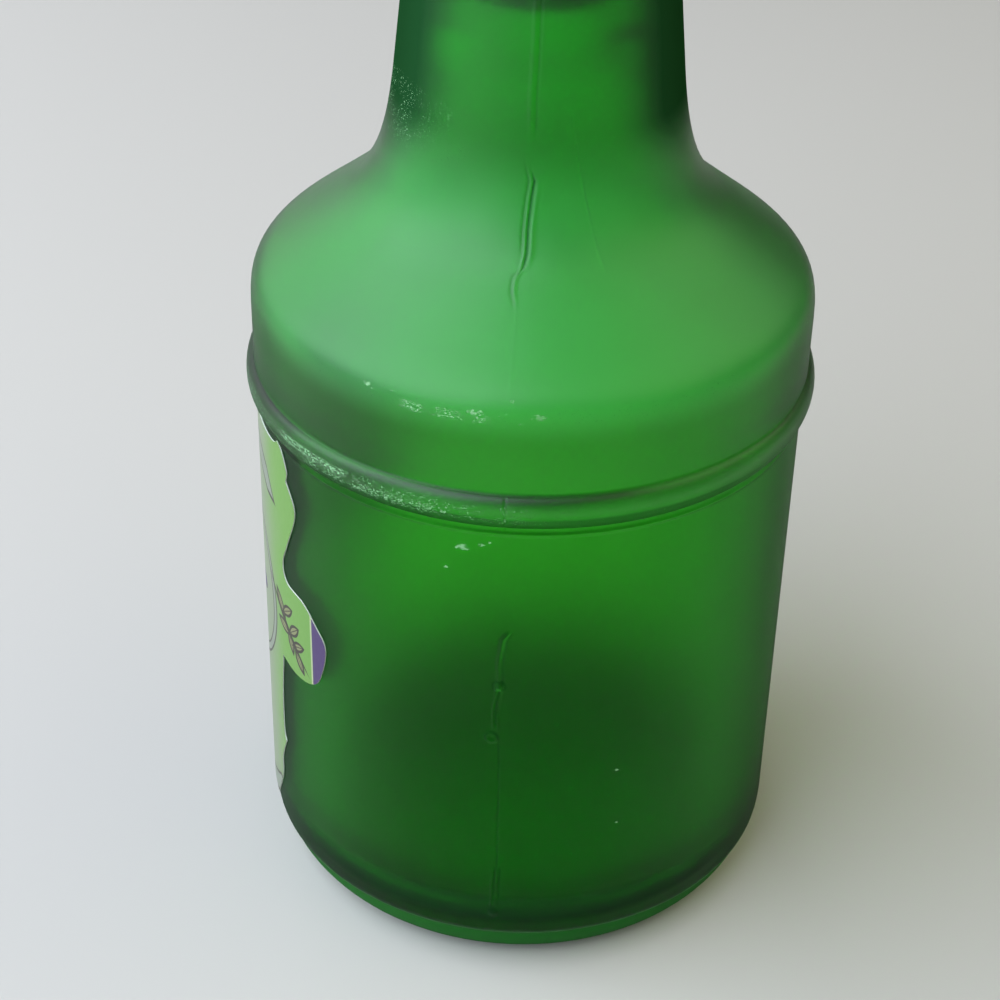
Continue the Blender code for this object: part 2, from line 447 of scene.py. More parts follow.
        # Painted shade on the underside's ring.
        outward, inward = self.underside_ring
        underside = up.fade(*self.underside_top) * reach.fade(*outward) * reach.fade(*inward)
        underside = underside * self.underside_share
        # Painted shade under the bead and in a band above the heel.
        foot = up.band(*self.bead_foot) * self.bead_foot_share
        base_edge = (up.band(*self.base_edge) * self.base_edge_share).most(foot)
        # Painted light: a lit mid green on the heel strip.
        heel = up.fade(*self.heel_top) * reach.fade(*self.heel_reach)
        veil = up.fade(*self.shoulder) * (self.veil_share - neck * self.veil_neck_loss)
        veil = veil * cloud.ranged(*self.veil_patches)
        veil = veil * (1.0 - facing.fade(*self.veil_angles) * self.veil_rim_loss)
        # Painted shade in the seams' creases.
        crease_shade = nodes.attribute(SEAM_CREASE_SHADE) * self.crease_shade_share
        whole = veil + rim + base_edge + underside + crease_shade + LEAST_DIVISOR
        tone = nodes.mix(veil / whole, self.edge, self.veil)
        tone = nodes.mix(heel, tone, self.heel)
        # Pale scuffs, and a painted highlight along the heel's joint.
        pale = scuffs.fade(0.0, self.scuff_pale).most(up.band(*self.heel_joint_highlight) * self.heel_joint_highlight_share)
        tone = nodes.mix(pale, tone, self.scuff)
        share = (rim + veil).least(1.0).most(underside).most(base_edge).most(crease_shade)
        share = share.most(heel * self.heel_share).most(scuffs)
        nodes.cover(share * outer, tone, self.scuff_roughness)

    def flow_line(self, around: Value, up: Value) -> Value:
        """A faint crease that leans away from the seam where the neck meets the shoulder."""
        angle, height = self.flow_start
        line = around.band(angle + (height - up) * self.flow_lean, *self.flow_width)
        return line * up.band(*self.flow_height)

    def scuffs(self, nodes: Nodes, point: Value, around: Value, up: Value) -> Value:
        """Rub pale flecks into the bead and the shoulder's edge, and add a few chips.

        Args:
            nodes: The material.
            point: The point on the object.
            around: The angle about the axis in degrees.
            up: The height in millimetres.

        Returns:
            How rubbed the surface is, 0 to 1.
        """
        flat = nodes.stretched(point, (1, 1, MARK_SQUASH))
        speck = nodes.noise(flat, self.speck_size, 2.0, 0.6)
        ragged = nodes.noise(flat, self.ragged_size, 4.0, 0.75)
        patch = nodes.noise(point, self.patch_size, 2.0)
        marks = []
        for wear in GLASS_WEAR:
            edge = up.band(wear.height, wear.half_height, wear.half_height)
            if wear.half_angle < 180:
                fade = wear.half_angle * self.wear_fade
                edge = edge * around.band(wear.angle, wear.half_angle, fade)
            fleck = speck.fade(wear.threshold, wear.threshold + self.fleck_softness)
            marks.append(edge * fleck * patch.fade(*self.patch_edge) * wear.amount)
        for chip in GLASS_CHIPS:
            spot = nodes.near(flat, chip.place(), chip.radius * MM)
            edge = (spot + (ragged - 0.5) * self.chip_raggedness).fade(*self.chip_edge)
            edge = edge * spot.fade(*self.chip_core)
            marks.append(edge * speck.ranged(*self.chip_patches) * chip.amount)
        whole = marks[0]
        for mark in marks[1:]:
            whole = whole.most(mark)
        return whole


@dataclass(frozen=True)
class Wear:
    """Rubbed flecks round the glass at one height, in millimetres and degrees."""

    height: float
    half_height: float
    angle: float
    half_angle: float
    threshold: float
    amount: float


@dataclass(frozen=True)
class Chip:
    """One small pale mark on the glass, in millimetres and degrees."""

    angle: float
    height: float
    reach: float
    radius: float
    amount: float = 0.8

    def place(self) -> Vector:
        """Where it is, in metres, with its height stretched as the marks' pattern is."""
        turn = math.radians(self.angle)
        aside = Vector((self.reach * math.cos(turn), self.reach * math.sin(turn), 0.0))
        return (aside + Vector((0.0, 0.0, self.height * MARK_SQUASH))) * MM


GLASS_WEAR = (
    Wear(101.1, 0.4, -40.0, 9.0, 0.52, 0.95),
    Wear(99.9, 0.5, -28.0, 12.0, 0.53, 0.85),
    Wear(100.4, 1.0, -38.0, 36.0, 0.6, 0.7),
    Wear(100.6, 1.0, 0.0, 360.0, 0.66, 0.6),
    Wear(116.9, 0.5, -11.5, 7.0, 0.53, 0.85),
    Wear(117.6, 0.9, 0.0, 360.0, 0.66, 0.6),
    Wear(150.7, 3.0, -60.0, 30.0, 0.64, 0.5),
)
GLASS_CHIPS = (
    Chip(-7.75, 92.4, 47.0, 1.7),
    Chip(-3.8, 93.3, 47.0, 0.8),
    Chip(-2.3, 93.9, 47.0, 0.6),
    Chip(-11.0, 88.0, 47.0, 0.6),
    Chip(54.1, 127.6, 37.6, 0.7),
    Chip(25.4, 45.3, 47.0, 0.7),
    Chip(26.2, 33.2, 47.0, 0.6),
    Chip(1.2, 119.7, 46.3, 0.7),
    Chip(-6.0, 117.7, 46.9, 1.4),
    Chip(-4.8, 117.9, 46.9, 0.9),
    Chip(-12.6, 117.4, 46.9, 0.8),
    Chip(6.5, 117.6, 46.9, 1.9, 0.5),
    Chip(-27.8, 118.3, 46.7, 1.1),
    Chip(-26.6, 117.9, 46.8, 0.6),
    Chip(-22.5, 99.6, 48.4, 0.9),
    Chip(-13.5, 100.0, 48.5, 1.2),
    Chip(-10.8, 99.8, 48.6, 0.9),
)


@dataclass(frozen=True)
class LabelPrint:
    """The label's printed face: leaf sprigs, a rosette, a ribbon and two coloured ends."""

    wrap: float = 47.0
    ground: Colour = linear(104, 150, 66)
    ground_faded: Colour = linear(128, 142, 112)
    silver: Colour = linear(128, 138, 120)
    gilt: Colour = linear(124, 128, 84)
    ink: Colour = linear(50, 46, 34)
    purple: Colour = linear(68, 49, 94)
    rule: Colour = linear(164, 178, 132)
    line: float = 0.16
    soft: float = 0.08
    fading: Span = (28.0, 14.0)
    fading_sway: float = 8.0
    fibre_size: float = 0.6 * MM
    cloud_size: float = 14 * MM
    ribbon_centre: float = 50.0
    ribbon_radius: float = 40.0
    ribbon_half: float = 2.0
    ribbon_tip: float = 24.2
    ribbon_taper: float = 0.5
    rosette_height: float = 58.0
    rosette_squash: float = 1.15
    ring_radius: float = 22.6
    field_radius: float = 20.9
    petals: float = 8.0
    petal_reach: float = 11.0
    petal_depth: float = 4.0
    heart_radius: float = 3.6
    panel_height: float = 23.0
    panel_half: Span = (7.6, 8.0)
    panel_border: float = 1.2
    lattice_edge: Span = (1.6, 1.7)
    lattice_turn: float = 0.9
    lattice_level: float = 0.9
    end_rule: Span = (36.2, 36.35)
    end_fill: Span = (36.65, 36.8)

    def material(self) -> bpy.types.Material:
        """Build the finish.

        Returns:
            The material.
        """
        nodes = Nodes("printed_label_paper")
        point, x, y, z = nodes.place()
        across = abs(x.turn(0.0 - y)) * self.wrap
        up = z * (1 / MM)
        fibre = nodes.noise(nodes.stretched(point, (1, 1, 0.4)), self.fibre_size, 3.0)
        cloud = nodes.noise(point, self.cloud_size, 2.0)
        faded = (across + (cloud - 0.5) * self.fading_sway).fade(*self.fading)
        colour = nodes.mix(faded, self.ground, self.ground_faded)
        for fill, edge, tint in self.motifs(across, up):
            colour = nodes.mix(fill, colour, tint)
            colour = nodes.mix(edge, colour, self.ink)
        nodes.set(
            Base_Color=colour,
            Roughness=fibre.ranged(0.45, 0.1),
            Coat_Weight=0.1,
            Coat_Roughness=0.3,
        )
        nodes.bump(fibre, 0.03 * MM, 0.3)
        return nodes.material

    def motifs(self, across: Value, up: Value) -> list[tuple[Value, Value, Colour]]:
        """Each motif's fill, outline and colour, from the bottom layer up."""
        return [self.ribbon(across, up), *self.rosette(across, up), *self.panel(across, up)] + [
            self.leaf(across, up, *leaf) for leaf in LABEL_LEAVES
        ] + self.end(across)

    def outlined(self, inside: Value, thick: float = 1.0) -> tuple[Value, Value]:
        """Fill and outline of a shape from the depth inside its edge in millimetres."""
        return inside.fade(-self.soft, self.soft), inside.band(0.0, self.line * thick, self.soft)

    def end(self, across: Value) -> list[tuple[Value, Value, Colour]]:
        """The coloured end beyond a light line, both without an outline."""
        none = across * 0.0
        return [
            (across.fade(*self.end_rule), none, self.rule),
            (across.fade(*self.end_fill), none, self.purple),
        ]

    def ribbon(self, across: Value, up: Value) -> tuple[Value, Value, Colour]:
        """Draw the arched ribbon over the rosette, with pointed ends.

        Args:
            across: The distance from the label's middle in millimetres.
            up: The height in millimetres.

        Returns:
            Its fill, outline and colour.
        """
        reach = (across**2 + (up - self.ribbon_centre) ** 2) ** 0.5
        aside = abs(reach - self.ribbon_radius)
        inside = (self.ribbon_half - aside).least((self.ribbon_tip - across) * self.ribbon_taper - aside)
        return *self.outlined(inside, 1.4), self.silver

    def rosette(self, across: Value, up: Value) -> list[tuple[Value, Value, Colour]]:
        """Draw rings round a flower of eight petals.

        Args:
            across: The distance from the label's middle in millimetres.
            up: The height in millimetres.

        Returns:
            Each shape's fill, outline and colour.
        """
        flat = up - self.rosette_height
        reach = (across**2 + (flat * self.rosette_squash) ** 2) ** 0.5
        wave = (flat.turn(across) * self.petals).math("COSINE")
        return [
            (*self.outlined(self.ring_radius - reach, 1.2), self.silver),
            (*self.outlined(self.field_radius - reach), self.ground_faded),
            (*self.outlined(self.petal_reach + wave * self.petal_depth - reach), self.purple),
            (*self.outlined(self.heart_radius - reach), self.gilt),
        ]

    def panel(self, across: Value, up: Value) -> list[tuple[Value, Value, Colour]]:
        """Draw the lower panel of diamonds in a double line.

        Args:
            across: The distance from the label's middle in millimetres.
            up: The height in millimetres.

        Returns:
            Each shape's fill, outline and colour.
        """
        level = up - self.panel_height
        half_width, half_height = self.panel_half
        inside = (half_width - across).least(half_height - abs(level))
        wave = (across * self.lattice_turn).math("COSINE") + (level * self.lattice_turn).math("COSINE")
        lattice = inside.fade(*self.lattice_edge)
        edge = wave.band(self.lattice_level, self.soft, self.soft)
        return [
            (*self.outlined(inside, 1.3), self.silver),
            (*self.outlined(inside - self.panel_border), self.ground),
            (lattice * wave.fade(self.lattice_level, 1.0), lattice * edge, self.purple),
        ]

    def leaf(
        self, across: Value, up: Value, spot: float, height: float, angle: float, length: float, width: float
    ) -> tuple[Value, Value, Colour]:
        """Draw one leaf with its vein.

        Args:
            across: The distance from the label's middle in millimetres.
            up: The height in millimetres.
            spot: Where the leaf's centre is across.
            height: Where its centre is upwards.
            angle: How far it is turned, in degrees.
            length: Half its length.
            width: Half its width.

        Returns:
            Its fill, outline and colour.
        """
        cosine = math.cos(math.radians(angle))
        sine = math.sin(math.radians(angle))
        along = (across - spot) * cosine + (up - height) * sine
        aside = (up - height) * cosine - (across - spot) * sine
        inside = (1.0 - (along / length) ** 2) * width - abs(aside)
        fill, edge = self.outlined(inside, 1.5)
        vein = fill * aside.band(0.0, 0.06, 0.06)
        return fill, edge.most(vein), self.gilt


LABEL_LEAVES = (
    (25.4, 61.6, -52.0, 3.0, 0.9),
    (26.8, 57.6, -12.0, 2.6, 0.9),
    (28.2, 61.6, 34.0, 2.3, 0.9),
    (29.4, 55.6, -70.0, 2.3, 0.8),
    (30.6, 58.8, 40.0, 2.2, 0.9),
    (32.0, 56.2, 24.0, 2.1, 0.8),
    (32.4, 53.2, -52.0, 2.3, 0.8),
    (27.4, 58.6, -40.0, 7.6, 0.26),
)


@dataclass(frozen=True)
class PlainPaper:
    """The label's bare paper, at its cut edge."""

    colour: Colour = linear(216, 222, 208)

    def material(self) -> bpy.types.Material:
        """Build the finish.

        Returns:
            The material.
        """
        nodes = Nodes("plain_label_paper")
        point, _, _, _ = nodes.place()
        fibre = nodes.noise(point, 0.3 * MM, 3.0)
        nodes.set(
            Base_Color=nodes.mix(fibre, self.colour, tuple(0.9 * part for part in self.colour)),
            Roughness=0.8,
        )
        return nodes.material


@dataclass(frozen=True)
class LabelBackShade:
    """The label's back, painted dark as the shade that the label throws into the bottle, seen through the
    glass.
    """

    colour: Colour = linear(62, 74, 54)

    def material(self) -> bpy.types.Material:
        """Build the finish.

        Returns:
            The material.
        """
        nodes = Nodes("label_back_painted_shade")
        point, _, _, _ = nodes.place()
        cloud = nodes.noise(point, 5 * MM, 3.0)
        # Painted shade: the back's dark colour.
        nodes.set(
            Base_Color=nodes.mix(cloud, self.colour, tuple(0.7 * part for part in self.colour)),
            Roughness=cloud.ranged(0.6, 0.2),
        )
        return nodes.material


@dataclass(frozen=True)
class Cork:
    """Natural cork: pale tan, with dark pores and fine grains."""

    light: Colour = linear(196, 152, 104)
    dark: Colour = linear(160, 112, 70)
    pore: Colour = linear(78, 46, 28)
    grain_size: float = 0.5 * MM
    cloud_size: float = 3 * MM
    pit_size: float = 1.1 * MM
    pit_edge: Span = (0.6, 0.68)
    relief: float = 0.35 * MM

    def material(self) -> bpy.types.Material:
        """Build the finish.

        Returns:
            The material.
        """
        nodes = Nodes("natural_cork")
        point, _, _, _ = nodes.place()
        grain = nodes.noise(point, self.grain_size, 3.0)
        cloud = nodes.noise(point, self.cloud_size, 3.0)
        pits = nodes.noise(nodes.stretched(point, (1, 0.35, 1)), self.pit_size, 2.0, 0.6, 0.8)
        pore = pits.fade(*self.pit_edge)
        sunk = nodes.attribute(CORK_PORE)
        body = nodes.mix((cloud + grain * 0.5).fade(0.45, 1.0), self.light, self.dark)
        nodes.set(
            Base_Color=nodes.mix(pore.most(sunk), body, self.pore),
            Roughness=grain.ranged(0.78, 0.15),
        )
        nodes.bump(grain * 0.25 - pore, self.relief, 0.8)
        return nodes.material


@dataclass(frozen=True)
class StainedWood:
    """Dark stained wood under a satin lacquer."""

    light: Colour = linear(96, 62, 40)
    dark: Colour = linear(44, 27, 18)
    worn: Colour = linear(128, 88, 58)
    heart: tuple[float, float, float] = (6 * MM, -9 * MM, 0.0)
    ring_width: float = 1.6 * MM
    ring_sway: float = 2.2
    sway_size: float = 7 * MM
    fibre_size: float = 0.35 * MM
    pore_size: float = 0.5 * MM
    pore_edge: Span = (0.64, 0.7)
    rub_size: float = 2.2 * MM
    rub_edge: Span = (0.4, 0.65)
    tool_pitch: float = 0.42 * MM
    relief: float = 0.15 * MM

    def material(self) -> bpy.types.Material:
        """Build the finish.

        Returns:
            The material.
        """
        nodes = Nodes("dark_stained_wood")
        point, _, _, z = nodes.place()
        centred = nodes.add("ShaderNodeVectorMath", {"operation": "SUBTRACT"}, {0: point, 1: self.heart})
        flat = nodes.stretched(centred, (1, 1, 0.04))
        reach = nodes.add("ShaderNodeVectorMath", {"operation": "LENGTH"}, {0: flat}, "Value")
        sway = nodes.noise(nodes.stretched(point, (1, 1, 0.1)), self.sway_size, 2.0)
        ring = reach * (1 / self.ring_width) + sway * self.ring_sway
        rings = (ring * math.tau).math("SINE").ranged(0.5, 0.5)
        fibre = nodes.noise(nodes.stretched(point, (1, 1, 0.05)), self.fibre_size, 3.0)
        pore = nodes.noise(nodes.stretched(point, (1, 1, 0.09)), self.pore_size, 1.0)
        pore = pore.fade(*self.pore_edge)
        tone = (rings * 0.5 + fibre * 0.6).fade(0.2, 0.9)
        body = nodes.mix(tone, self.light, self.dark)
        patch = nodes.noise(point, self.rub_size, 4.0, 0.6).fade(*self.rub_edge)
        rubbed = nodes.attribute(WORN_EDGE) * patch
        body = nodes.mix(rubbed * 0.6, body, self.worn)
        turning = (z * (math.tau / self.tool_pitch)).math("SINE")
        nodes.set(
            Base_Color=nodes.mix(pore, body, self.dark),
            Roughness=0.42 + fibre * 0.15 + rubbed * 0.1,
            Coat_Weight=0.3,
            Coat_Roughness=0.25,
        )
        nodes.bump(turning * 0.06 + fibre * 0.2 - pore * 0.6, self.relief, 0.6)
        return nodes.material


def arc(centre: Vector, out: float, up: float, start: float, end: float, steps: int) -> list[Vector]:
    """Points along an elliptical arc.

    Args:
        centre: The ellipse's centre.
        out: Its reach away from the axis.
        up: Its reach upwards.
        start: The first angle in turns, from straight out towards straight up.
        end: The last angle in turns.
        steps: How many pieces the arc is cut into.

    Returns:
        The points, from start to end.
    """
    points = []
    for step in range(steps + 1):
        angle = math.tau * (start + (end - start) * step / steps)
        points.append(centre + Vector((out * math.cos(angle), up * math.sin(angle))))
    return points


def curve(start: Vector, start_handle: Vector, end_handle: Vector, end: Vector, steps: int) -> list[Vector]:
    """Points along a cubic curve.

    Args:
        start: The first point.
        start_handle: The handle that the curve leaves it towards.
        end_handle: The handle that the curve comes to its end from.
        end: The last point.
        steps: How many pieces the curve is cut into.

    Returns:
        The points, from start to end.
    """
    points = []
    for step in range(steps + 1):
        share = step / steps
        back = 1 - share
        points.append(
            start * back**3
            + start_handle * 3 * share * back**2
            + end_handle * 3 * share**2 * back
            + end * share**3
        )
    return points


def straight(start: Vector, end: Vector, steps: int) -> list[Vector]:
    """Points along a straight stretch."""
    return [start.lerp(end, step / steps) for step in range(steps + 1)]


def joined(*stretches: Iterable[Vector]) -> list[Vector]:
    """Join stretches into one outline, without the points that they share.

    Args:
        stretches: The stretches, each starting where the one before ends.

    Returns:
        The outline's points.
    """
    outline: list[Vector] = []
    for stretch in stretches:
        for point in stretch:
            if not outline or (point - outline[-1]).length > MERGE:
                outline.append(point)
    return outline


def turned(
    outline: Sequence[Vector], arcs: Sequence[tuple[float, int]], start: float = 0.0
) -> bmesh.types.BMesh:
    """Turn an outline about +Z.

    Args:
        outline: Points (radius, height), the first and last on the axis.
        arcs: Angles in turns that add up to one, each with its number of steps.
        start: The angle in turns where the first arc starts.

    Returns:
        The closed solid.
    """
    shape = bmesh.new()
    verts = [shape.verts.new((point.x, 0, point.y)) for point in outline]
    edges = [shape.edges.new(pair) for pair in zip(verts, verts[1:])]
    bmesh.ops.rotate(shape, verts=verts, cent=(0, 0, 0), matrix=Matrix.Rotation(start * math.tau, 3, "Z"))
    last: list[Any] = verts + edges
    for angle, steps in arcs:
        about = {"cent": (0, 0, 0), "axis": (0, 0, 1), "angle": angle * math.tau}
        last = bmesh.ops.spin(shape, geom=last, **about, steps=steps, use_merge=False)["geom_last"]
    bmesh.ops.remove_doubles(shape, verts=shape.verts, dist=MERGE)
    bmesh.ops.recalc_face_normals(shape, faces=shape.faces)
    return shape


def finished(
    name: str, shape: bmesh.types.BMesh, materials: Sequence[bpy.types.Material]
) -> bpy.types.Object:
    """Make a bmesh an object with smooth shading.

    Args:
        name: The piece's name.
        shape: The bmesh, which is freed.
        materials: The piece's finishes, in the order of its faces' numbers.

    Returns:
        The object, at the origin.
    """
    mesh = bpy.data.meshes.new(name)
    shape.to_mesh(mesh)
    shape.free()
    for material in materials:
        mesh.materials.append(material)
    mesh.shade_smooth()
    piece = bpy.data.objects.new(name, mesh)
    bpy.context.scene.collection.objects.link(piece)
    log.info("%s: %d faces", name, len(mesh.polygons))
    return piece


class Body(Enum):
    """The two bodies that pieces ride on."""

    BOTTLE = "bottle"
    STOPPER = "stopper"


def dress(piece: bpy.types.Object, body: Body, node: str) -> None:
    """Set a piece on its body in place of a CAD node.

    Args:
        piece: The finished piece.
        body: The body that it rides on.
        node: The CAD node that it stands for.
    """
    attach(piece, body.value)
    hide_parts(node)


def smooth(share: float) -> float:
    """0 up to 0, 1 from 1 and smooth between them."""
    share = min(max(share, 0.0), 1.0)
    return share * share * (3 - 2 * share)


def along(path: Sequence[tuple[float, float]], place: float) -> float:
    """Read a path of pairs at a place.

    Args:
        path: Pairs (place, value), in rising order of place.
        place: Where to read it.

    Returns:
        The value there, in a straight line between two pairs.
    """
    if place <= path[0][0]:
        return path[0][1]
    for (low, first), (high, second) in zip(path, path[1:]):
        if place <= high:
            return first + (second - first) * (place - low) / (high - low)
    return path[-1][1]


@dataclass(frozen=True)
class Ridge:
    """A line beside a mould seam, raised or sunk, with painted shade in its crease, in millimetres."""

    across: float
    width: float
    height: float
    low: float
    high: float
    soft: float
    crease_shade: float = 0.0

    def share(self, across: float, up: float) -> float:
        """How much of the line a point has, 0 to 1."""
        ends = smooth((up - self.low) / self.soft) * smooth((self.high - up) / self.soft)
        return ends * math.exp(-(((across - self.across) / self.width) ** 2))

    def rise(self, across: float, up: float) -> float:
        """Its height at a point, in millimetres."""
        return self.height * self.share(across, up)

    def painted_shade(self, across: float, up: float) -> float:
        """How much painted shade darkens its crease at a point."""
        return self.crease_shade * self.share(across, up)


@dataclass(frozen=True)
class Knob:
    """A small lump beside a mould seam, or a ring where it is hollow, with painted shade round its foot, in
    millimetres.
    """

    across: float
    up: float
    radius: float
    height: float
    hollow: bool = False
    crease_shade: float = 0.5

    def rise(self, across: float, up: float) -> float:
        """Work out how high the lump or ring stands at a point.

        Args:
            across: The distance from the seam's path in millimetres.
            up: The height in millimetres.

        Returns:
            Its height there, in millimetres.
        """
        reach = math.hypot(across - self.across, up - self.up) / self.radius
        if self.hollow:
            return self.height * math.exp(-(((reach - 1) / 0.35) ** 2))
        return self.height * math.exp(-(reach**4))

    def painted_shade(self, across: float, up: float) -> float:
        """How much painted shade darkens the ring round its foot at a point."""
        reach = math.hypot(across - self.across, up - self.up) / self.radius
        return self.crease_shade * math.exp(-(((reach - 1.35) / 0.3) ** 2))


FRONT_SEAM_PATH = (
    (5.0, 0.0), (13.8, -0.05), (15.5, -0.08), (24.0, 0.17), (49.3, 0.05), (54.2, -0.3), (60.0, -0.6),
    (64.8, 0.1), (70.7, -0.02), (74.9, 0.68), (76.4, 1.66), (98.0, 0.5), (103.0, 0.5), (108.0, 0.3),
    (115.0, 0.7), (128.0, 0.6), (129.6, 0.4), (131.0, -0.6), (132.2, -0.6), (132.9, 0.1), (133.5, 1.4),
    (135.4, 2.3), (138.7, 2.3), (140.9, 2.6), (143.2, 3.1), (145.8, 3.9), (147.6, 2.8), (150.6, 1.9),
    (158.4, 1.6), (166.0, 2.1), (173.5, 2.3), (193.3, 2.4),
)
# A ridge's seventh number is the painted shade in its crease, and each knob has painted shade round its
# foot.
FRONT_SEAM = (
    Ridge(0.0, 0.4, 0.13, 152.0, 181.0, 3.0),
    Ridge(0.85, 0.3, -0.1, 152.0, 181.0, 3.0, 0.25),
    Ridge(-0.9, 0.25, -0.06, 134.0, 150.0, 4.0, 0.35),
    Ridge(-0.42, 0.22, 0.15, 132.6, 148.0, 3.0),
    Ridge(0.0, 0.19, -0.16, 132.4, 147.6, 2.0, 1.2),
    Ridge(0.66, 0.42, 0.24, 133.0, 147.0, 4.0),
    Ridge(1.6, 0.9, 0.1, 138.0, 149.0, 4.0),
    Ridge(0.0, 0.36, 0.14, 129.6, 134.0, 1.4),
    Ridge(-0.5, 0.3, -0.04, 129.6, 133.6, 1.0, 0.4),
    Ridge(0.0, 0.35, 0.008, 104.0, 130.0, 4.0),
    Ridge(0.0, 0.25, -0.1, 96.0, 104.0, 2.0, 0.35),
    Ridge(0.0, 0.4, 0.36, 64.0, 76.6, 1.0),
    Ridge(0.62, 0.25, -0.06, 64.0, 76.6, 1.0, 0.45),
    Ridge(-0.4, 0.18, 0.2, 55.5, 66.0, 1.5),
    Ridge(0.4, 0.18, 0.2, 55.5, 66.0, 1.5),
    Ridge(0.0, 0.2, -0.06, 55.5, 66.0, 1.5, 0.4),
    Ridge(0.3, 0.2, -0.12, 22.0, 55.0, 4.0, 0.35),
    Ridge(-0.45, 0.2, 0.26, 14.5, 25.5, 2.0),
    Ridge(-0.05, 0.2, -0.06, 14.5, 25.5, 2.0, 0.4),
    Ridge(0.35, 0.2, 0.26, 14.5, 25.5, 2.0),
    Ridge(0.8, 0.2, -0.06, 14.5, 25.5, 2.0, 0.4),
    Knob(0.0, 65.2, 0.75, 0.42),
    Knob(-0.75, 54.2, 0.8, 0.32, True),
    Knob(0.0, 13.9, 0.75, 0.42),
)
BACK_SEAM_PATH = ((5.0, 0.2), (60.0, -0.2), (110.0, 0.3), (150.0, -0.4), (193.3, 0.0))
BACK_SEAM = (
    Ridge(0.0, 0.35, 0.14, 12.0, 92.0, 6.0),
    Ridge(0.0, 0.25, -0.08, 96.0, 105.0, 2.0),
    Ridge(0.0, 0.4, 0.12, 112.0, 181.0, 8.0),
    Knob(0.1, 14.0, 0.7, 0.2),
)


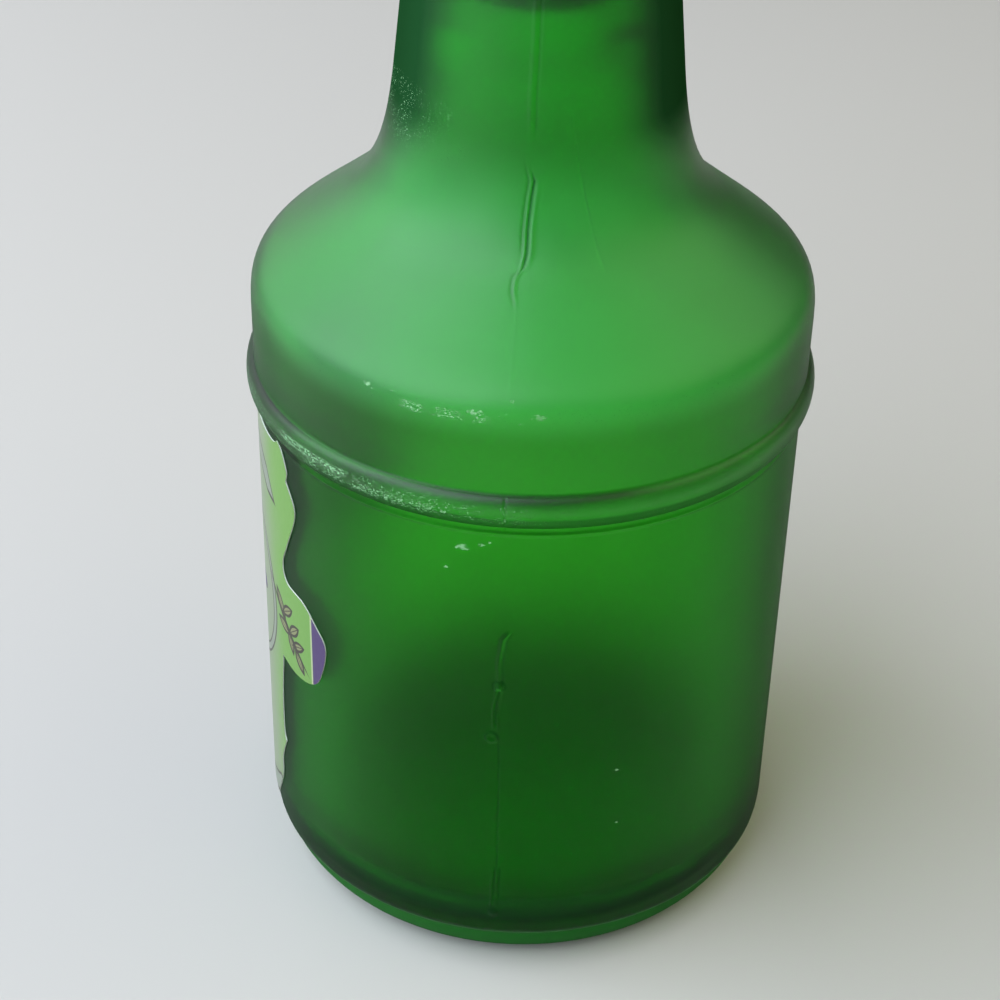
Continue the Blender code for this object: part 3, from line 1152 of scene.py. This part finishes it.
@dataclass
class GlassShell:
    """The blown glass: heel, body, bead, band, shoulder, neck and lip, and the hollow inside."""

    body_radius: float = 47.0 * MM
    heel_width: float = 8.8 * MM
    heel_height: float = 11.1 * MM
    heel_joint_height: float = 8.9 * MM
    heel_joint_step: float = 0.4 * MM
    body_height: float = 97.1 * MM
    bead_height: float = 6.2 * MM
    bead_bulge: float = 1.55 * MM
    bead_fillet: float = 1.3
    band_step: float = 0.47 * MM
    band_height: float = 10.1 * MM
    shoulder_height: float = 41.4 * MM
    neck_foot_radius: float = 23.2 * MM
    neck_lean: float = math.radians(5.8)
    neck_height: float = 25.5 * MM
    lip_overhang: float = 1.6 * MM
    lip_height: float = 13.0 * MM
    lip_lower_round: float = 2.2 * MM
    lip_upper_round: float = 3.2 * MM
    body_wall: float = 2.9 * MM
    shoulder_wall: float = 3.6 * MM
    neck_wall: float = 7.4 * MM
    base_wall: float = 4.6 * MM
    inner_heel_width: float = 13.0 * MM
    inner_heel_height: float = 11.0 * MM
    punt_height: float = 5.0 * MM
    bearing_width: float = 4.0 * MM
    bore_radius: float = 12.5 * MM
    bore_length: float = 26.5 * MM
    bore_mouth_round: float = 1.4 * MM
    turn_radius_share: float = 0.603
    turn_height_share: float = 0.421
    turn_slope: float = math.radians(39.4)
    round_handle_shares: tuple[float, float] = (0.344, 0.762)
    hollow_handle_shares: tuple[float, float] = (0.285, 0.541)
    body_rows: tuple[tuple[float, int], ...] = (
        (26.0 * MM, 44), (52.0 * MM, 16), (77.0 * MM, 74), (94.0 * MM, 10), (97.1 * MM, 16),
    )
    seam_columns: tuple[tuple[float, int], ...] = ((2.0, 5), (4.8, 32), (2.0, 5))
    plain_columns: tuple[float, int] = (171.2, 57)
    seam_pull: tuple[float, float] = (3.5, 14.0)
    wave_depth: float = 0.45 * MM
    wave_size: tuple[float, float] = (15.0, 38.0)
    wave_fades: tuple[float, float] = (14 * MM, 20 * MM)
    inside_margins: tuple[float, float, float] = (0.4 * MM, 0.2 * MM, 1.5 * MM)
    punt_steps: int = 12
    bead_steps: int = 24
    shoulder_steps: int = 36
    hollow_steps: int = 14
    neck_rows: int = 34
    mould_ring: tuple[float, float, float] = (95.8 * MM, 0.4 * MM, 0.2 * MM)

    @property
    def band_radius(self) -> float:
        """Radius of the band above the bead."""
        return self.body_radius + self.band_step

    @property
    def band_top(self) -> float:
        """Height where the shoulder starts."""
        return self.body_height + self.bead_height + self.band_height

    @property
    def neck_foot(self) -> float:
        """Height where the neck runs straight."""
        return self.band_top + self.shoulder_height

    @property
    def lip_bottom(self) -> float:
        """Height of the lip's underside."""
        return self.neck_foot + self.neck_height

    @property
    def lip_top(self) -> float:
        """Height of the mouth."""
        return self.lip_bottom + self.lip_height

    @property
    def neck_top_radius(self) -> float:
        """Radius of the neck under the lip."""
        return self.neck_foot_radius - self.neck_height * math.tan(self.neck_lean)

    def shoulder(self, steps: int) -> list[Vector]:
        """Draw the outer shoulder, from the band up to the neck.

        Args:
            steps: How many pieces each of its two curves is cut into.

        Returns:
            The outline's points (radius, height).
        """
        start = Vector((self.band_radius, self.band_top))
        end = Vector((self.neck_foot_radius, self.neck_foot))
        middle = Vector((
            start.x + (end.x - start.x) * self.turn_radius_share,
            start.y + (end.y - start.y) * self.turn_height_share,
        ))
        slope = Vector((-math.cos(self.turn_slope), math.sin(self.turn_slope)))
        lean = Vector((-math.sin(self.neck_lean), math.cos(self.neck_lean)))
        round_chord = (middle - start).length
        hollow_chord = (end - middle).length
        round_part = curve(
            start,
            start + Vector((0, round_chord * self.round_handle_shares[0])),
            middle - slope * round_chord * self.round_handle_shares[1],
            middle,
            steps,
        )
        hollow_part = curve(
            middle,
            middle + slope * hollow_chord * self.hollow_handle_shares[0],
            end - lean * hollow_chord * self.hollow_handle_shares[1],
            end,
            steps,
        )
        return joined(round_part, hollow_part)

    def outside(self) -> list[Vector]:
        """Draw the outline from the punt's middle up the outside to the mouth.

        Returns:
            The outline's points (radius, height).
        """
        bearing_outer = self.body_radius - self.heel_width - self.heel_joint_step
        bearing_inner = bearing_outer - self.bearing_width
        punt = [
            Vector((bearing_inner * share, self.punt_height * (1 - share**2)))
            for share in (step / self.punt_steps for step in range(self.punt_steps + 1))
        ]
        ring = [Vector((bearing_inner, 0)), Vector((bearing_outer, 0))]
        joint_turn = math.asin(1 - self.heel_joint_height / self.heel_height) / math.tau
        plate_centre = Vector((bearing_outer, self.heel_height))
        plate = arc(plate_centre, self.heel_width, self.heel_height, -0.25, -joint_turn, 14)
        wall_centre = plate_centre + Vector((self.heel_joint_step, 0))
        heel = arc(wall_centre, self.heel_width, self.heel_height, -joint_turn, 0, 3)
        body = [Vector((self.body_radius, self.heel_height))]
        for top, rows in self.body_rows:
            body = joined(body, straight(body[-1], Vector((self.body_radius, top)), rows))
        bead = []
        for step in range(self.bead_steps + 1):
            share = (1 - math.cos(math.pi * step / self.bead_steps)) / 2
            swell = self.bead_bulge * math.sin(math.pi * step / self.bead_steps) ** self.bead_fillet
            bead.append(Vector((
                self.body_radius + self.band_step * share + swell,
                self.body_height + self.bead_height * share,
            )))
        band = straight(bead[-1], Vector((self.band_radius, self.band_top)), 12)
        shoulder = self.shoulder(self.shoulder_steps)
        neck = straight(shoulder[-1], Vector((self.neck_top_radius, self.lip_bottom)), self.neck_rows)
        lip_radius = self.neck_top_radius + self.lip_overhang
        lower = Vector((self.neck_top_radius, self.lip_bottom + self.lip_lower_round))
        upper = Vector((lip_radius - self.lip_upper_round, self.lip_top - self.lip_upper_round))
        mouth = Vector((self.bore_radius + self.bore_mouth_round, self.lip_top - self.bore_mouth_round))
        lip = joined(
            arc(lower, self.lip_overhang, self.lip_lower_round, -0.25, 0, 8),
            arc(upper, self.lip_upper_round, self.lip_upper_round, 0, 0.25, 10),
            arc(mouth, self.bore_mouth_round, self.bore_mouth_round, 0.25, 0.5, 8),
        )
        height, width, rise = self.mould_ring
        for point in body:
            point.x += rise * math.exp(-(((point.y - height) / width) ** 2))
        return joined(punt, ring, plate, heel, body, bead, band, shoulder, neck, lip)

    def inside(self) -> list[Vector]:
        """Draw the outline from the bore down to the middle of the floor.

        Returns:
            The outline's points (radius, height).
        """
        outer = self.shoulder(self.hollow_steps)
        shoulder = []
        for index, point in enumerate(outer):
            way = (outer[min(index + 1, len(outer) - 1)] - outer[max(index - 1, 0)]).normalized()
            share = index / (len(outer) - 1)
            wall = self.shoulder_wall + (self.neck_wall - self.shoulder_wall) * share
            shoulder.insert(0, point + Vector((-way.y, way.x)) * wall)
        bore_end = Vector((self.bore_radius, self.lip_top - self.bore_length))
        reach = Vector((0, (bore_end.y - shoulder[0].y) / 2))
        flare = curve(bore_end, bore_end - reach, shoulder[0] + reach, shoulder[0], 10)
        inner_radius = self.body_radius - self.body_wall
        low = Vector((inner_radius - self.inner_heel_width, self.base_wall + self.inner_heel_height))
        heel = arc(low, self.inner_heel_width, self.inner_heel_height, 0, -0.25, 12)
        floor = [
            Vector((low.x * share, self.base_wall + self.punt_height * (1 - share**2)))
            for share in (1 - step / 8 for step in range(9))
        ]
        wall_top = Vector((inner_radius, self.band_top - self.body_wall))
        return joined([bore_end], flare, shoulder[:-1], [wall_top], heel, floor)

    def build(self) -> None:
        """Turn the shell, then shape its seams and its uneven inside."""
        outside = self.outside()
        seam_angle = sum(angle for angle, _ in self.seam_columns)
        half_turn = [*self.seam_columns, self.plain_columns]
        arcs = [(angle / 360, steps) for angle, steps in half_turn * 2]
        shape = turned(joined(outside, self.inside()), arcs, -seam_angle / 720)
        mark = shape.verts.layers.float.new(OUTER_FACE)
        # The layer of painted shade in the seams' creases.
        crease_shade = shape.verts.layers.float.new(SEAM_CREASE_SHADE)
        heights = sorted((point.y, point.x) for point in outside if point.y > 0)
        for vert in shape.verts:
            vert[mark] = 0.0 if self.is_inside(vert.co, heights) else 1.0
        self.shape_seams(shape, mark, crease_shade)
        self.shape_inside(shape, mark)
        piece = finished("bottle_glass", shape, [FrostedGlass().material()])
        dress(piece, Body.BOTTLE, "glass_bottle")

    def is_inside(self, place: Vector, heights: Sequence[tuple[float, float]]) -> bool:
        """Whether a point of the shell is on its inner face.

        Args:
            place: The point.
            heights: The outer outline as (height, radius), in rising order.

        Returns:
            True on the bore, the inner wall and the inner floor.
        """
        floor, mouth, wall = self.inside_margins
        if not self.punt_height + floor < place.z < self.lip_top - mouth:
            return False
        return math.hypot(place.x, place.y) < radius_at(heights, place.z) - wall

    def shape_seams(self, shape: bmesh.types.BMesh, mark: Any, crease_shade: Any) -> None:
        """Pull the fine columns onto each seam's path, raise its ridges and mark the painted shade in their
        creases.

        Args:
            shape: The shell.
            mark: The layer that is 1 on the outer face.
            crease_shade: The layer that the painted crease shade is written to.
        """
        shape.normal_update()
        moves = []
        for vert in shape.verts:
            angle = math.degrees(math.atan2(vert.co.y, vert.co.x))
            front = abs(angle) < 90
            offset = angle if front else (angle - 180 if angle > 0 else angle + 180)
            path, relief = (FRONT_SEAM_PATH, FRONT_SEAM) if front else (BACK_SEAM_PATH, BACK_SEAM)
            near, far = self.seam_pull
            if abs(offset) > far:
                continue
            up = vert.co.z / MM
            pull = along(path, up) * smooth((far - abs(offset)) / (far - near))
            across = math.radians(offset) * math.hypot(vert.co.x, vert.co.y) / MM
            rise = 0.0
            # On the outer face: raise the ridges and write the painted shade in their creases.
            if vert[mark] > 0:
                rise = sum(line.rise(across, up) for line in relief)
                vert[crease_shade] = min(sum(line.painted_shade(across, up) for line in relief), 1.0)
            moves.append((vert, math.radians(pull), vert.normal * rise * MM))
        for vert, pull, rise in moves:
            vert.co = Matrix.Rotation(pull, 3, "Z") @ (vert.co + rise)

    def shape_inside(self, shape: bmesh.types.BMesh, mark: Any) -> None:
        """Make the inner face uneven, as blown glass is, below the bore.

        Args:
            shape: The shell.
            mark: The layer that is 1 on the outer face.
        """
        bore_end = self.lip_top - self.bore_length
        across, up = self.wave_size
        below_bore, off_axis = self.wave_fades
        for vert in shape.verts:
            radius = math.hypot(vert.co.x, vert.co.y)
            if vert[mark] > 0 or radius < MM:
                continue
            ends = smooth((bore_end - vert.co.z) / below_bore) * smooth(radius / off_axis)
            place = Vector((vert.co.x / across, vert.co.y / across, vert.co.z / up)) / MM
            wave = noise.noise(place) + 0.5 * noise.noise(place * 2.3)
            swell = 1 + wave * ends * self.wave_depth / radius
            vert.co.x *= swell
            vert.co.y *= swell


def radius_at(outline: Sequence[tuple[float, float]], height: float) -> float:
    """Find an outline's radius at a height.

    Args:
        outline: Points (height, radius), in rising order.
        height: Where to measure.

    Returns:
        The greater radius of the two points that the height is between.
    """
    for (low, first), (high, second) in zip(outline, outline[1:]):
        if low <= height <= high:
            return max(first, second)
    return outline[-1][1]


@dataclass
class PaperLabel:
    """The die-cut label, wrapped round the body's front."""

    wrap_radius: float = 47.0 * MM
    half_width: float = 40.5 * MM
    foot: float = 11.3 * MM
    height: float = 84.6 * MM
    inner_radius: float = 47.06 * MM
    thickness: float = 0.22 * MM
    column: float = 1.0 * MM
    row: float = 1.5 * MM
    steps: int = 10
    edge_shares: tuple[tuple[float, float, bool], ...] = (
        (0.000, 0.990, True), (0.560, 0.985, False), (0.670, 1.000, False), (0.742, 0.955, False),
        (0.733, 0.926, True), (0.797, 0.885, False), (0.795, 0.845, False), (0.715, 0.762, False),
        (0.667, 0.708, False), (0.700, 0.670, False), (0.840, 0.661, False), (0.930, 0.630, False),
        (1.000, 0.586, False), (0.957, 0.500, False), (0.890, 0.466, False), (0.770, 0.453, False),
        (0.625, 0.458, True), (0.592, 0.330, False), (0.592, 0.240, False), (0.615, 0.216, True),
        (0.550, 0.150, False), (0.532, 0.085, False), (0.430, 0.000, True), (0.000, 0.000, True),
    )

    def edge(self) -> list[Vector]:
        """Draw the right half of the label's edge in the flat.

        Returns:
            Points (distance from the middle, height), from the top down to the foot.
        """
        knots = [
            Vector((across * self.half_width, self.foot + up * self.height))
            for across, up, _ in self.edge_shares
        ]
        corners = [corner for _, _, corner in self.edge_shares]
        points: list[Vector] = []
        for index in range(len(knots) - 1):
            start, end = knots[index], knots[index + 1]
            before = start if corners[index] else knots[index - 1]
            after = end if corners[index + 1] else knots[index + 2]
            points += curve(start, start + (end - before) / 6, end - (after - start) / 6, end, self.steps)
        return joined(points)

    def build(self) -> None:
        """Cut the flat outline, wrap it and give it its thickness."""
        half = self.edge()
        left = [Vector((-point.x, point.y)) for point in half[::-1] if point.x > MERGE]
        shape = bmesh.new()
        shape.faces.new([shape.verts.new((point.x, 0, point.y)) for point in joined(half, left)])
        columns = math.ceil(self.half_width / self.column)
        cuts = [((step * self.column, 0, 0), (1, 0, 0)) for step in range(-columns, columns + 1)]
        rows = math.ceil(self.height / self.row)
        cuts += [((0, 0, self.foot + step * self.row), (0, 0, 1)) for step in range(1, rows)]
        for place, normal in cuts:
            geometry = shape.verts[:] + shape.edges[:] + shape.faces[:]
            bmesh.ops.bisect_plane(shape, geom=geometry, dist=MERGE, plane_co=place, plane_no=normal)
        for vert in shape.verts:
            angle = vert.co.x / self.wrap_radius
            vert.co = (
                math.sin(angle) * self.inner_radius,
                -math.cos(angle) * self.inner_radius,
                vert.co.z,
            )
        grown = bmesh.ops.extrude_face_region(shape, geom=shape.faces[:])
        outer = [item for item in grown["geom"] if isinstance(item, bmesh.types.BMVert)]
        swell = 1 + self.thickness / self.inner_radius
        bmesh.ops.scale(shape, vec=(swell, swell, 1), verts=outer)
        bmesh.ops.recalc_face_normals(shape, faces=shape.faces)
        shape.normal_update()
        for face in shape.faces:
            centre = face.calc_center_median()
            outward = Vector((centre.x, centre.y, 0)).normalized()
            facing = face.normal.dot(outward)
            face.material_index = 0 if facing > 0.7 else 2 if facing < -0.7 else 1
        for edge in shape.edges:
            if len({face.material_index for face in edge.link_faces}) > 1:
                edge.smooth = False
        finishes = [LabelPrint(), PlainPaper(), LabelBackShade()]
        piece = finished("paper_label", shape, [finish.material() for finish in finishes])
        dress(piece, Body.BOTTLE, "front_label")


@dataclass
class Stopper:
    """The cork and the turned cap."""

    lip_top: float = 193.3 * MM
    seat_gap: float = 0.3 * MM
    cork_radius: float = 12.2 * MM
    cork_depth: float = 25.5 * MM
    cork_chamfer: float = 1.2 * MM
    cork_row: float = 0.5 * MM
    cork_columns: int = 180
    cork_unevenness: float = 0.12 * MM
    pore_size: float = 1.9 * MM
    pore_depth: float = 0.4 * MM
    pore_flatness: float = 1.9
    pore_level: float = 0.3
    pore_softness: float = 0.18
    wave_share: float = 0.35
    clearance: float = 0.3 * MM
    socket_depth: float = 6.0 * MM
    cap_radius: float = 21.5 * MM
    cap_columns: int = 144
    cap_height: float = 17.0 * MM
    cap_upper_round: float = 3.0 * MM
    cap_lower_round: float = 1.0 * MM
    cap_crown: float = 0.8 * MM
    groove_heights: tuple[float, ...] = (4.2 * MM, 5.6 * MM)
    groove_depth: float = 0.28 * MM
    groove_width: float = 0.7 * MM
    worn_reach: float = 2.4 * MM

    @property
    def cap_bottom(self) -> float:
        """Height of the cap's underside, where the cork goes out of sight."""
        return self.lip_top + self.seat_gap

    @property
    def cork_top(self) -> float:
        """Height of the cork's end in the cap's socket."""
        return self.cap_bottom + self.socket_depth

    def build(self) -> None:
        """Build both pieces."""
        self.build_cork()
        self.build_cap()

    def build_cork(self) -> None:
        """Turn the cork, from its chamfered foot up into the cap, and sink its pores."""
        bottom = self.cap_bottom - self.cork_depth
        foot = Vector((self.cork_radius - self.cork_chamfer, bottom))
        rim = Vector((self.cork_radius, bottom + self.cork_chamfer))
        head = Vector((self.cork_radius, self.cork_top))
        outline = joined(
            straight(Vector((0, bottom)), foot, math.ceil(foot.x / self.cork_row)),
            straight(foot, rim, 4),
            straight(rim, head, math.ceil((head.y - rim.y) / self.cork_row)),
            [Vector((0, self.cork_top))],
        )
        shape = turned(outline, [(1.0, self.cork_columns)])
        self.pit_cork(shape)
        cork = finished("cork_body", shape, [Cork().material()])
        dress(cork, Body.STOPPER, "cork_shank")

    def build_cap(self) -> None:
        """Turn the cap with its socket, grooves and crown, and wear its rims."""
        socket = self.cork_radius + self.clearance
        socket_top = self.cork_top + self.seat_gap
        top = self.cap_bottom + self.cap_height
        side_top = top - self.cap_crown - self.cap_upper_round
        lower = Vector((self.cap_radius - self.cap_lower_round, self.cap_bottom + self.cap_lower_round))
        upper = Vector((self.cap_radius - self.cap_upper_round, side_top))
        crown = [
            Vector((upper.x * share, top - self.cap_crown * share**2))
            for share in (1 - step / 6 for step in range(7))
        ]
        outline = joined(
            [Vector((0, socket_top)), Vector((socket, socket_top)), Vector((socket, self.cap_bottom))],
            arc(lower, self.cap_lower_round, self.cap_lower_round, -0.25, 0, 6),
            *(self.groove(self.cap_bottom + height) for height in self.groove_heights),
            arc(upper, self.cap_upper_round, self.cap_upper_round, 0, 0.25, 10),
            crown,
        )
        shape = turned(outline, [(1.0, self.cap_columns)])
        self.mark_worn(shape, upper, lower)
        cap = finished("turned_cap", shape, [StainedWood().material()])
        dress(cap, Body.STOPPER, "stopper_cap")

    def pit_cork(self, shape: bmesh.types.BMesh) -> None:
        """Sink pores into the cork below the cap, longest across it, and mark them.

        Args:
            shape: The cork.
        """
        shape.normal_update()
        mark = shape.verts.layers.float.new(CORK_PORE)
        for vert, normal in [(vert, vert.normal.copy()) for vert in shape.verts]:
            if vert.co.z > self.cap_bottom:
                continue
            place = Vector((vert.co.x, vert.co.y, vert.co.z * self.pore_flatness)) / self.pore_size
            pore = smooth((noise.noise(place) - self.pore_level) / self.pore_softness)
            wave = 0.5 + 0.5 * noise.noise(place * self.wave_share)
            vert[mark] = pore
            vert.co -= normal * (self.pore_depth * pore + self.cork_unevenness * wave)

    def groove(self, height: float) -> list[Vector]:
        """Cut a rounded groove round the cap's side.

        Args:
            height: The height of its middle.

        Returns:
            The outline's points (radius, height).
        """
        points = []
        for step in range(9):
            share = step / 8
            depth = self.groove_depth * math.sin(math.pi * share)
            points.append(Vector((self.cap_radius - depth, height + self.groove_width * (share - 0.5))))
        return points

    def mark_worn(self, shape: bmesh.types.BMesh, upper: Vector, lower: Vector) -> None:
        """Mark how worn each point is, most on the cap's two rims.

        Args:
            shape: The cap.
            upper: The centre (radius, height) of the upper rim's rounding.
            lower: The centre of the lower rim's rounding.
        """
        mark = shape.verts.layers.float.new(WORN_EDGE)
        rims = (
            upper + Vector((1, 1)).normalized() * self.cap_upper_round,
            lower + Vector((1, -1)).normalized() * self.cap_lower_round,
        )
        for vert in shape.verts:
            place = Vector((math.hypot(vert.co.x, vert.co.y), vert.co.z))
            nearest = min((place - rim).length for rim in rims)
            vert[mark] = smooth(1 - nearest / self.worn_reach)


@dataclass
class Studio:
    """Floor, lights and camera."""

    lens: float = 80.48
    sensor: float = 36.0
    camera_place: tuple[float, float, float] = (0.33204, 0.02555, 0.29730)
    camera_tilt: tuple[float, float, float] = (55.711, -1.067, 95.938)
    dimness: float = 0.05

    def build(self) -> None:
        """Build the studio."""
        self.floor()
        self.lights()
        self.camera()

    def camera(self) -> None:
        """Stand the camera where the photograph was taken from."""
        data = bpy.data.cameras.new("camera")
        data.lens = self.lens
        data.sensor_width = self.sensor
        data.sensor_fit = "HORIZONTAL"
        camera = bpy.data.objects.new("camera", data)
        camera.location = self.camera_place
        camera.rotation_euler = tuple(math.radians(angle) for angle in self.camera_tilt)
        bpy.context.scene.collection.objects.link(camera)
        bpy.context.scene.camera = camera

    def floor(self) -> None:
        """Lay a plain pale floor."""
        shape = bmesh.new()
        bmesh.ops.create_grid(shape, x_segments=1, y_segments=1, size=3.0)
        nodes = Nodes("pale_floor")
        nodes.set(Base_Color=linear(194, 191, 185), Roughness=0.7)
        floor = finished("floor", shape, [nodes.material])

    def lights(self) -> None:
        """Hang the soft lamps, and light the rest evenly and weakly."""
        world = bpy.data.worlds.new("studio")
        world.use_nodes = True
        bpy.context.scene.world = world
        background = world.node_tree.nodes["Background"]
        background.inputs["Color"].default_value = (0.93, 0.96, 1.0, 1.0)
        background.inputs["Strength"].default_value = self.dimness
        for lamp in SOFT_LAMPS:
            lamp.hang()


@dataclass(frozen=True)
class SoftLamp:
    """A large soft lamp that faces the bottle: its place and size in metres, and its power."""

    name: str
    place: tuple[float, float, float]
    size: tuple[float, float]
    power: float
    colour: Colour
    aim: tuple[float, float, float] = (0.0, 0.0, 0.1)

    def hang(self) -> None:
        """Hang it where the camera never sees it."""
        data = bpy.data.lights.new(self.name, "AREA")
        data.shape = "RECTANGLE"
        data.size, data.size_y = self.size
        data.energy = self.power
        data.color = self.colour
        lamp = bpy.data.objects.new(self.name, data)
        lamp.location = self.place
        way = Vector(self.aim) - Vector(self.place)
        lamp.rotation_euler = way.to_track_quat("-Z", "Y").to_euler()
        lamp.visible_camera = False
        bpy.context.scene.collection.objects.link(lamp)


SOFT_LAMPS = (
    SoftLamp("window", (0.40, -0.61, 0.77), (1.5, 1.2), 22.0, (0.89, 0.97, 1.13)),
    SoftLamp("far_window", (-0.54, -0.72, 0.52), (1.3, 0.9), 4.5, (0.95, 0.98, 1.04)),
    SoftLamp("room", (0.0, 0.72, 0.82), (1.2, 0.9), 2.2, (1.0, 0.97, 0.66)),
    SoftLamp("side", (-0.38, 0.66, 0.74), (0.9, 0.9), 1.6, (1.0, 0.97, 0.74)),
    SoftLamp("front", (0.38, 0.66, 0.74), (0.9, 0.9), 1.3, (1.0, 0.97, 0.68)),
)


def main() -> None:
    """Build every piece and the studio, and note the sizes."""
    logging.basicConfig(level=logging.INFO)
    GlassShell().build()
    PaperLabel().build()
    Stopper().build()
    Studio().build()
    bpy.context.scene.view_settings.view_transform = "Standard"


if __name__ == "__main__":
    main()
